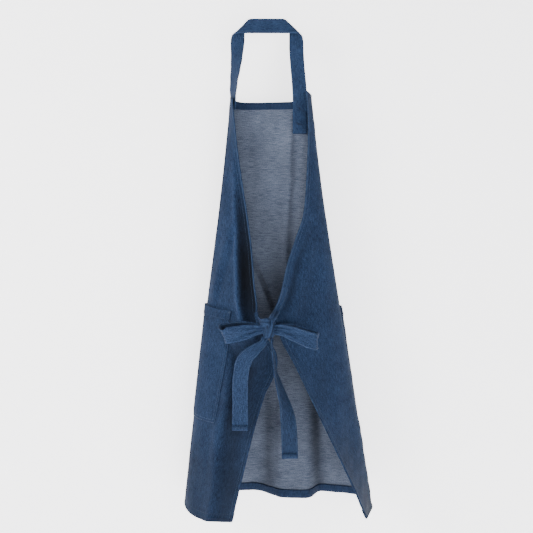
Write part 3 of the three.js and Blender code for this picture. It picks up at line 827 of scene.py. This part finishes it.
band_step = 0.0011
for side_name, spec in pockets.items():
    body = pocket_sheet(f"{side_name}_pocket_cloth", spec, np.linspace(0.0, pocket_height, 50), 0.0,
                        outside_denim, 0.0009)
    band = pocket_sheet(f"{side_name}_pocket_band", spec,
                        [-0.001, 0.0, 0.004, 0.008, 0.012, 0.016, 0.019, pocket_hem], band_step,
                        outside_denim, 0.0008)
    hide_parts(f"{side_name}_pocket")
    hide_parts(f"{side_name}_pocket_hem")
    lines = []
    for inset in (0.002, 0.0075):
        first, last, foot = spec["start"] + inset, spec["end"] - inset, pocket_height - inset
        path = [(first, down) for down in np.linspace(0.002, foot, 60)]
        path += [(across, foot) for across in np.linspace(first, last, 50)]
        path += [(last, down) for down in np.linspace(foot, 0.002, 60)]
        lines.append([pocket_stitch(spec, across, down, 0.00015 + (band_step if down < pocket_hem else 0))
                      for across, down in path])
    lines.append([pocket_stitch(spec, across, 0.0175, 0.0012)
                  for across in np.linspace(spec["start"] + 0.003, spec["end"] - 0.003, 60)])
    for corner in (spec["start"] + 0.0045, spec["end"] - 0.0045):
        for k in range(5):
            lines.append([pocket_stitch(spec, across, 0.0025 + k * 0.0007, 0.0013, 0.004)
                          for across in np.linspace(corner - 0.004, corner + 0.004, 8)])
    sewn = sewn_line(f"{side_name}_pocket_stitches", lines, pale_thread, "apron_body", 0.0030)


# ---- Neck strap ----
# A flat double strip of denim that hangs level at its top and is folded over at 45 degrees at each
# side. The left leg turns edge-on down to the bib's corner. The right leg runs down inside the bib,
# with a turned and sewn end.
tie_denim = denim("denim_tie", (0.0030, 0.0081, 0.0232), (0.0160, 0.0322, 0.0722), down_yarn, 0.85)
strap_width = 0.033
strap_thick = 0.0016
band_half = 0.05
fold_radius = 0.008
half_turn = math.pi * fold_radius
leg_x = band_half + half_turn / math.sqrt(2)
leg_ends = {
    -1: {"x": -0.0765, "y": -0.0105, "turn": 1.2, "length": strap_drop + 0.022},
    1: {"x": 0.076, "y": 0.0086, "turn": 0.0, "length": strap_drop + 0.07},
}


def strap_point(side, along, across):
    """On the level stretch or round the slanting fold, by the way along it and across it."""
    past = (along - band_half + across) / math.sqrt(2)
    if past <= 0:
        return np.array([side * along, -fold_radius, -strap_width / 2 + across])
    axis = (across - along + band_half) / math.sqrt(2)
    turned = min(past, half_turn)
    out = fold_radius * math.sin(turned / fold_radius) - (past - turned)
    x = band_half + (out - axis) / math.sqrt(2)
    z = -strap_width / 2 + (out + axis) / math.sqrt(2)
    return np.array([side * x, -fold_radius * math.cos(turned / fold_radius), z])


def leg_point(side, depth, across):
    """On a hanging leg, by its depth below the strap's top edge."""
    end = leg_ends[side]
    t = float(ease(depth, strap_width * 1.6, strap_drop))
    turned = min(max((depth - strap_width * 1.4) / (strap_drop - strap_width * 1.4), 0.0), 1.0)
    angle = math.acos(1 - (1 - math.cos(end["turn"])) * turned)
    x = side * leg_x + (end["x"] - side * leg_x) * t - side * across * math.cos(angle)
    y = fold_radius + (end["y"] - fold_radius) * t - across * math.sin(angle)
    return np.array([x, y, -depth])


strap_across = np.linspace(-1, 1, 13)


def strap_rows(side):
    rows = []
    for i in range(41):
        along = band_half + half_turn * math.sqrt(2) * i / 40
        rows.append([strap_point(side, along - k * strap_width / 2, k * strap_width / 2)
                     for k in strap_across])
    start = strap_width * 1.4
    for i in range(1, 91):
        depth = start + (leg_ends[side]["length"] - start) * i / 90
        rows.append([leg_point(side, depth, k * strap_width / 2) for k in strap_across])
    return rows


strap_grid = np.array(strap_rows(-1)[::-1] + strap_rows(1))
strap_facing = grid_normals(strap_grid)
strap_steps = np.linalg.norm(np.diff(strap_grid[:, 6], axis=0), axis=1)
strap_length = np.concatenate([[0], np.cumsum(strap_steps)])
# Soft waviness, and two puckers in the right leg below the bib's top. The strap's edges are paler with wear,
# and each pucker has painted shade just below its crest.
ripple = 0.0006 * np.sin(strap_length * 70)[:, None] * np.cos(strap_across * 2.2)[None, :]
ripple = ripple + 0.0004 * np.sin(strap_length * 190 + 1)[:, None] * strap_across[None, :]
strap_wear_and_shade = np.repeat((0.3 * ease(np.abs(strap_across), 0.8, 1.0))[None, :], len(strap_grid), 0)
right_leg = (strap_grid[:, :, 0] > 0.05) & (strap_grid[:, :, 2] < -0.15)
for z0, x0, slope in ((-0.2, 0.0775, 1.0), (-0.236, 0.0755, 0.45)):
    off = (strap_grid[:, :, 2] - z0) + slope * (strap_grid[:, :, 0] - x0)
    near_by = bump(strap_grid[:, :, 0], x0, 0.008) * bump(strap_grid[:, :, 2], z0, 0.014)
    ripple = ripple + np.where(right_leg, 0.0036 * bump(off, 0.0, 0.0026) * near_by, 0)
    # Painted shade just below each pucker's crest.
    strap_wear_and_shade = strap_wear_and_shade - np.where(right_leg, 1.1 * bump(off, -0.0035, 0.002) * near_by, 0)
strap_grid = strap_grid + strap_facing * ripple[:, :, None]
strap_flat = np.stack([np.repeat(strap_across[None, :] * strap_width / 2, len(strap_grid), 0),
                       np.repeat(strap_length[:, None], len(strap_across), 1)], 2)
strap = grid_piece("neck_strap_cloth", strap_grid + strap_facing * strap_thick / 2, strap_flat,
                   [tie_denim], strap_thick, 1.0)
give_wear_and_shade(strap, strap_wear_and_shade)
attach(strap, "apron_body")
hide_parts("neck_strap")


def grid_line(grid, facing, row_range, column, lift, side):
    """A stitch row that runs along a strip, at a share of its width."""
    c = (column + 1) / 2 * (grid.shape[1] - 1)
    c0 = min(int(c), grid.shape[1] - 2)
    f = c - c0
    line = []
    for r in row_range:
        place = grid[r, c0] * (1 - f) + grid[r, c0 + 1] * f
        up = facing[r, c0] * (1 - f) + facing[r, c0 + 1] * f
        line.append((place + up * lift * side, up * side))
    return line


every_row = range(len(strap_grid))
strap_lines = [grid_line(strap_grid, strap_facing, every_row, k, strap_thick / 2 + 0.00012, side)
               for k in (-0.88, 0.88) for side in (-1, 1)]


# The sewn end: a band folded round the strip's end, by its height above the end and its lift.
end_depth = leg_ends[1]["length"]
band_profile = ((-0.0102, 0.0009), (-0.0098, 0.0018), (-0.006, 0.0021), (-0.002, 0.002),
                (0.0006, 0.0014), (0.0011, 0.0), (0.0006, -0.0013))
band_half_width = strap_width / 2 - 0.0008
end_band = [[leg_point(1, end_depth + step, across * band_half_width) + np.array([0, -lift, 0])
             for step, lift in band_profile] for across in np.linspace(-1, 1, 9)]
band_uv = [[(k * 0.016, r * 0.002) for r in range(7)] for k in range(9)]
strap_hem = grid_piece("strap_end_band", end_band, band_uv, [tie_denim], 0.0004, 0.0)
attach(strap_hem, "apron_body")
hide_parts("strap_end_hem")
towards_back = np.array([0, -0.0024, 0])
for above_end in (0.0085, 0.0068):
    strap_lines.append([(leg_point(1, end_depth - above_end, across) + towards_back, towards_back)
                        for across in np.linspace(-0.0155, 0.0155, 20)])
strap_stitches = sewn_line("strap_stitches", strap_lines, pale_thread, "apron_body", 0.0031)


# ---- Ties, knot and bow ----
# Flat double ties of denim, sewn along both edges. They leave the turned back edges, go under the
# knot, and come out as two loops and two tails. The cloth is gathered small where it meets the knot,
# and each tail's end is turned up and sewn.
tie_width = 0.034
tie_thick = 0.0018
tie_pitch = 0.0031
waist_share = 0.558
waist_z = -strap_drop - apron_length * waist_share - side_drop * waist_share
knot = np.array([0.003, station(left_edge_y, waist_share) - 0.018, waist_z])
knot_radius = 0.013
knot_height = 0.04


def smooth_curve(points, count):
    """Places evenly spread by station along a curve through the points given."""
    points = [np.array(p, float) for p in points]
    points = [2 * points[0] - points[1]] + points + [2 * points[-1] - points[-2]]
    out = []
    segments = len(points) - 3
    for i in range(count):
        u = i / (count - 1) * segments
        k = min(int(u), segments - 1)
        t = u - k
        p0, p1, p2, p3 = points[k:k + 4]
        t1 = max(np.linalg.norm(p1 - p0), 1e-6) ** 0.5
        t2 = t1 + max(np.linalg.norm(p2 - p1), 1e-6) ** 0.5
        t3 = t2 + max(np.linalg.norm(p3 - p2), 1e-6) ** 0.5
        x = t1 + (t2 - t1) * t
        a1 = p0 * (t1 - x) / t1 + p1 * x / t1
        a2 = p1 * (t2 - x) / (t2 - t1) + p2 * (x - t1) / (t2 - t1)
        a3 = p2 * (t3 - x) / (t3 - t2) + p3 * (x - t2) / (t3 - t2)
        b1 = a1 * (t2 - x) / t2 + a2 * x / t2
        b2 = a2 * (t3 - x) / (t3 - t1) + a3 * (x - t1) / (t3 - t1)
        out.append(b1 * (t2 - x) / (t2 - t1) + b2 * (x - t1) / (t2 - t1))
    return np.array(out)


def ribbon_grid(stations, count, shape=None, cross=15):
    """A strip through stations of (place, width, way the width runs). shape(t, s) lifts it off flat."""
    line = smooth_curve([s[0] for s in stations], count)
    tangents = np.gradient(line, axis=0)
    tangents /= np.linalg.norm(tangents, axis=1, keepdims=True)
    widths_given = [s[1] for s in stations]
    runs = np.array([s[2] for s in stations], float)
    marks = np.arange(len(stations))
    side = np.linspace(-1, 1, cross)
    grid = np.zeros((count, cross, 3))
    for i in range(count):
        t = i / (count - 1)
        at = t * (len(stations) - 1)
        width = float(np.interp(at, marks, widths_given))
        run = np.array([np.interp(at, marks, runs[:, k]) for k in range(3)])
        run -= tangents[i] * run.dot(tangents[i])
        run /= np.linalg.norm(run)
        face = np.cross(run, tangents[i])
        for j, s in enumerate(side):
            lift = shape(t, s) if shape else 0.0
            grid[i, j] = line[i] + run * s * width / 2 + face * lift
    return grid


def ribbon_piece(name, grid, body, node, inner=None, tone=0.0):
    """A tie's cloth, worn along its sewn edges. inner is the stretch that is seen inside a loop, which gets
    painted shade.
    """
    facing = grid_normals(grid)
    count = grid.shape[1]
    middle = grid[:, count // 2]
    travelled = np.concatenate([[0], np.cumsum(np.linalg.norm(np.diff(middle, axis=0), axis=1))])
    side = np.linspace(-tie_width / 2, tie_width / 2, count)
    flat = np.stack([np.repeat(side[None, :], len(grid), 0), np.repeat(travelled[:, None], count, 1)], 2)
    piece = grid_piece(name, grid + facing * tie_thick / 2, flat, [tie_denim], tie_thick, 1.0)
    off_middle = np.abs(np.linspace(-1, 1, count))[None, :]
    tone_wear_and_shade = np.repeat(0.35 * ease(off_middle, 0.8, 1.0), len(grid), 0)
    if inner:
        run = np.linspace(0, 1, len(grid))[:, None]
        core = 1 - ease(off_middle, 0.72, 0.85)
        entered = ease(run, inner[0], inner[0] + 0.03)
        left = ease(run, inner[1], inner[1] + 0.03)
        # Painted shade on the stretch seen inside the loop.
        tone_wear_and_shade = tone_wear_and_shade - 0.6 * core * entered * (1 - left)
    give_wear_and_shade(piece, tone_wear_and_shade + tone)
    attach(piece, body)
    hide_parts(node)
    return piece, facing, travelled[-1]


def edge_rows(grid, facing, start, end, inset=0.88):
    """Rows of stitches along both edges of a tie, seen on both faces."""
    return [grid_line(grid, facing, range(start, end), k, tie_thick / 2 + 0.00012, side)
            for k in (-inset, inset) for side in (-1, 1)]


def near(x, y, z):
    """A place given from the knot's middle."""
    return knot + np.array([x, y, z])


# Out from the knot on the side that is seen, round the tip, and back behind: the share of the reach,
# the depth, the share of the droop, and the share of the tie's width.
loop_path = ((0, -0.0045, 0.0, 0.42), (0.2, -0.0095, 0.06, 0.62), (0.45, -0.0135, 0.35, 0.9),
             (0.78, -0.0155, 0.8, 1.03), (0.96, -0.011, 0.98, 1.0), (1, 0.0, 0.98, 0.97),
             (0.93, 0.0065, 0.86, 0.98), (0.7, 0.0085, 0.6, 0.97), (0.4, 0.007, 0.2, 0.86),
             (0, 0.004, 0.0, 0.52))


def loop_stations(side, reach_out, droop, back_rise, tip_slant):
    root = knot_radius - 0.001
    stations = []
    for share, y, drop, wide in loop_path:
        x = side * (root + (reach_out - root + knot_radius) * share)
        rise = back_rise * float(ease(share, 0.1, 0.75)) * (1 if y > -0.001 else 0)
        slant = float(ease(share, 0.35, 1.0)) * tip_slant
        stations.append((near(x, y, -droop * drop + rise), tie_width * wide, (side * slant, 0, 1)))
    return stations


def loop_shape(seed):
    """Pleats gathered at the knot, and long soft creases that run out to the tip."""
    def shape(t, s):
        from_knot = min(t, 1 - t) * 2
        gather = math.exp(-from_knot * 3.2)
        pleat = 0.0029 * gather * math.sin(s * 8.5 + seed + 1.5 * from_knot)
        crease = 0.0021 * math.exp(-((s - (from_knot * 1.9 - 0.7)) / 0.22) ** 2) * (1 - gather)
        crease -= 0.0019 * math.exp(-((s + from_knot * 1.2 - 0.2 + seed * 0.1) / 0.18) ** 2) * (1 - gather)
        crease += 0.0013 * math.exp(-((s - 0.55 + from_knot * 0.5) / 0.15) ** 2) * (1 - gather)
        return pleat + crease + 0.0007 * math.sin(t * 21 + seed * 2) * s
    return shape


for side_name, stations, seed in (("left", loop_stations(-1, 0.083, 0.013, 0.0075, 0.5), 0.4),
                                  ("right", loop_stations(1, 0.094, 0.027, 0.003, 0.12), 1.9)):
    grid = ribbon_grid(stations, 120, loop_shape(seed))
    piece, facing, length = ribbon_piece(f"{side_name}_loop_cloth", grid, f"{side_name}_loop",
                                         f"{side_name}_bow_loop", inner=(0.56, 0.92))
    sewn = sewn_line(f"{side_name}_loop_stitches", edge_rows(grid, facing, 6, 114), pale_thread,
                     f"{side_name}_loop", tie_pitch)


def tail_shape(seed):
    """Gathered at the knot, then waving a little as it hangs, with one slanting crease."""
    def shape(t, s):
        gather = math.exp(-t * 7)
        return (0.0022 * gather * math.sin(s * 6.5 + seed) + 0.0011 * math.sin(t * 9 + seed) * s * s
                + 0.0006 * math.sin(t * 23 + 2 * seed + s * 1.5)
                + 0.001 * math.exp(-((s - 1.6 * t + 0.6) / 0.25) ** 2) * math.exp(-((t - 0.35) / 0.3) ** 2))
    return shape


# Stations down each tail: the place, the width there, and the way the width runs. The right tail
# leaves the knot edge-on and turns flat as it falls.
across_way, ahead = (1, 0, 0), (0, 1, 0)
tail_top = -knot_height / 2 - 0.0006
left_tail_stations = [
    (near(-0.006, -0.004, tail_top + 0.002), 0.012, across_way),
    (near(-0.012, -0.005, tail_top - 0.009), 0.016, across_way),
    (near(-0.028, -0.0074, tail_top - 0.022), 0.024, across_way),
    (near(-0.051, -0.0086, tail_top - 0.044), 0.033, across_way),
    (near(-0.0595, -0.0088, tail_top - 0.08), tie_width, across_way),
    (near(-0.0605, -0.0088, tail_top - 0.14), tie_width, across_way),
    (near(-0.061, -0.0088, tail_top - 0.194), tie_width, across_way),
]
turning = (0.22, 0.97, 0)
half_turned = (0.43, 0.9, 0)
nearly_flat = (0.8, 0.6, 0)
right_tail_stations = [
    (near(0.008, -0.004, tail_top + 0.002), 0.01, ahead),
    (near(0.011, -0.008, tail_top - 0.03), 0.022, ahead),
    (near(0.015, -0.0088, tail_top - 0.066), 0.03, turning),
    (near(0.027, -0.0088, tail_top - 0.105), 0.032, half_turned),
    (near(0.040, -0.0088, tail_top - 0.15), tie_width, nearly_flat),
    (near(0.0445, -0.0088, tail_top - 0.2), tie_width, across_way),
    (near(0.046, -0.0088, tail_top - 0.254), tie_width, across_way),
]
end_hem_depth = 0.009
for side_name, stations, seed, tone in (("left", left_tail_stations, 0.7, 0.0),
                                        ("right", right_tail_stations, 2.2, -0.3)):
    grid = ribbon_grid(stations, 110, tail_shape(seed))
    body = f"{side_name}_tail"
    piece, facing, length = ribbon_piece(f"{side_name}_tail_cloth", grid, body, f"{side_name}_tie_tail",
                                         tone=tone)
    # The end is turned up and sewn across: rows of the band, each at a row of the grid, with its lift
    # off the strip and how far it passes the end.
    last = len(grid) - 1
    way = grid[last, 7] - grid[last - 1, 7]
    rows_up = int(end_hem_depth / np.linalg.norm(way))
    way = way / np.linalg.norm(way)
    outward = np.where((facing[:, 7, 1] < 0)[:, None, None], facing, -facing)
    hem_grid = []
    for row, lift, over in ((last - rows_up, 0.0012, 0), (last - rows_up, 0.0021, 0),
                            (last - rows_up // 2, 0.0023, 0), (last, 0.0021, 0), (last, 0.0014, 0.0012),
                            (last, 0, 0.0017), (last, -0.0013, 0.0012), (last, -0.0016, -0.0008)):
        side_in = grid[row] + (grid[row, 7] - grid[row]) * 0.03
        hem_grid.append(side_in + outward[row] * lift + way * over)
    band_uv = [[(k * 0.0024, r * 0.003) for k in range(15)] for r in range(8)]
    band = grid_piece(f"{side_name}_tail_band", hem_grid, band_uv, [tie_denim], 0.0004, 0.0)
    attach(band, body)
    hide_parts(f"{side_name}_tail_hem")
    lines = edge_rows(grid, facing, 8, last - rows_up)
    for row in (last - int(rows_up * 0.75), last - int(rows_up * 0.5)):
        back = outward[row]
        lines.append([(grid[row, k] + back[k] * 0.0026, back[k]) for k in range(1, 14)])
        lines.append([(grid[row, k] - back[k] * 0.0011, -back[k]) for k in range(1, 14)])
    sewn = sewn_line(f"{side_name}_tail_stitches", lines, pale_thread, body, tie_pitch)


def waist_tie(panel, drop, wide, ends, seed):
    """From a panel's turned back edge to the knot, narrowing and creased as it goes in. ends are the
    places, from the knot's middle, that it passes through last, with its width and run there."""
    edge = on_cloth(panel, drop, width_at(panel, drop))
    inside = on_cloth(panel, drop, width_at(panel, drop) - 0.01)
    out = (edge - inside) / np.linalg.norm(edge - inside)
    above = on_cloth(panel, drop - 0.01, width_at(panel, drop - 0.01))
    below = on_cloth(panel, drop + 0.01, width_at(panel, drop + 0.01))
    edge_way = (below - above) / np.linalg.norm(below - above)
    start = edge - out * 0.006 + np.array([0, -0.0028, 0])
    over = edge + out * 0.004 + np.array([0, -0.0045, 0])
    stations = [(start, wide, edge_way), (over, wide, edge_way)]
    if panel == "right":
        stations = []
        for along, inset in ((-0.03, 0.0065), (0.0, 0.006), (0.018, 0.003)):
            distance = width_at(panel, drop + along) - inset
            stations.append((on_cloth(panel, drop + along, distance, 0.0032), wide, -out))
    stations += [(near(*place), width, run) for place, width, run in ends]

    def shape(t, s):
        return 0.0018 * t * math.sin(s * 6 + seed) + 0.0012 * math.exp(-((s - t * 1.2 + 0.5) / 0.3) ** 2)

    grid = ribbon_grid(stations, 60, shape)
    piece, facing, length = ribbon_piece(f"{panel}_waist_tie_cloth", grid, "apron_body",
                                         f"{panel}_waist_tie")
    sewn = sewn_line(f"{panel}_waist_tie_stitches", edge_rows(grid, facing, 2, 52), pale_thread,
                     "apron_body", tie_pitch)


waist_tie("left", 0.487, 0.03, [((-0.014, -0.005, 0.0135), 0.022, (0.25, 0, -1)),
                                ((-0.004, -0.0145, 0.0155), 0.015, (0.45, 0, -1)),
                                ((0.001, -0.0125, 0.0125), 0.01, (0.5, 0, -1))], 0.3)
waist_tie("right", 0.452, 0.0135, [((0.0105, -0.0065, 0.027), 0.0155, (0.9, 0.0, -0.6)),
                                   ((0.003, -0.0105, 0.015), 0.0145, (1, 0, -0.5))], 1.4)

# The knot is a turn of tie drawn tight over the gathered cloth. It is wide above and narrow below, finely
# pleated, and one fold of it crosses slantwise between two grooves. The pleats' crests carry painted
# highlight, and their hollows and the grooves carry painted shade.
knot_points, knot_flat, knot_painted_shade = [], [], []
for i in range(41):
    v = i / 40
    tall = math.sin((v - 0.5) * math.pi)
    round_in = max(math.cos((v - 0.5) * math.pi), 0.0) ** 0.42
    line, uv, tone_wear_and_shade = [], [], []
    for j in range(73):
        turn = 2 * math.pi * j / 72
        pleats = (-0.09 * math.sin(turn * 8 + 4.5 * v) - 0.06 * math.sin(turn * 5 + 1.2 + v * 3.2)
                  + 0.03 * math.sin(turn * 14 + v * 6))
        waist = 1.2 - 0.34 * v + 0.05 * math.cos((v - 0.45) * 2 * math.pi) + 0.02 * math.sin(v * 9 + turn)
        off = (turn - 1.0 + 1.7 * v + math.pi) % (2 * math.pi) - math.pi
        groove = math.exp(-((off + 0.62) / 0.17) ** 2) + math.exp(-((off - 0.55) / 0.17) ** 2)
        waist += 0.12 * math.exp(-(off / 0.42) ** 2) - 0.1 * groove
        radius = knot_radius * (1.0 + pleats * round_in) * waist * (0.12 + 0.88 * round_in)
        x = radius * math.sin(turn) + 0.0012 * math.sin(v * 4)
        y = -radius * math.cos(turn) * 0.94
        z = knot_height / 2 * (tall * (1.12 - 0.13 * tall) + 0.02 * math.sin(turn * 3) * round_in)
        line.append(near(x, y, -z))
        uv.append((turn * knot_radius, v * knot_height))
        # Painted highlight on the pleats' crests, and painted shade in their hollows and in the grooves.
        tone_wear_and_shade.append(2.2 * pleats * round_in - 0.55 * groove)
    knot_points.append(line)
    knot_flat.append(uv)
    knot_painted_shade.append(tone_wear_and_shade)
knot_piece = grid_piece("knot_wrap", knot_points, knot_flat, [tie_denim])
give_wear_and_shade(knot_piece, knot_painted_shade)
bpy.context.view_layer.objects.active = knot_piece
knot_piece.select_set(True)
bpy.ops.object.mode_set(mode="EDIT")
bpy.ops.mesh.select_all(action="SELECT")
bpy.ops.mesh.remove_doubles(threshold=0.00002)
bpy.ops.mesh.select_non_manifold()
bpy.ops.mesh.edge_face_add()
bpy.ops.mesh.select_all(action="SELECT")
bpy.ops.mesh.normals_make_consistent(inside=False)
bpy.ops.object.mode_set(mode="OBJECT")
knot_piece.select_set(False)
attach(knot_piece, "apron_body")
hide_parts("bow_knot")
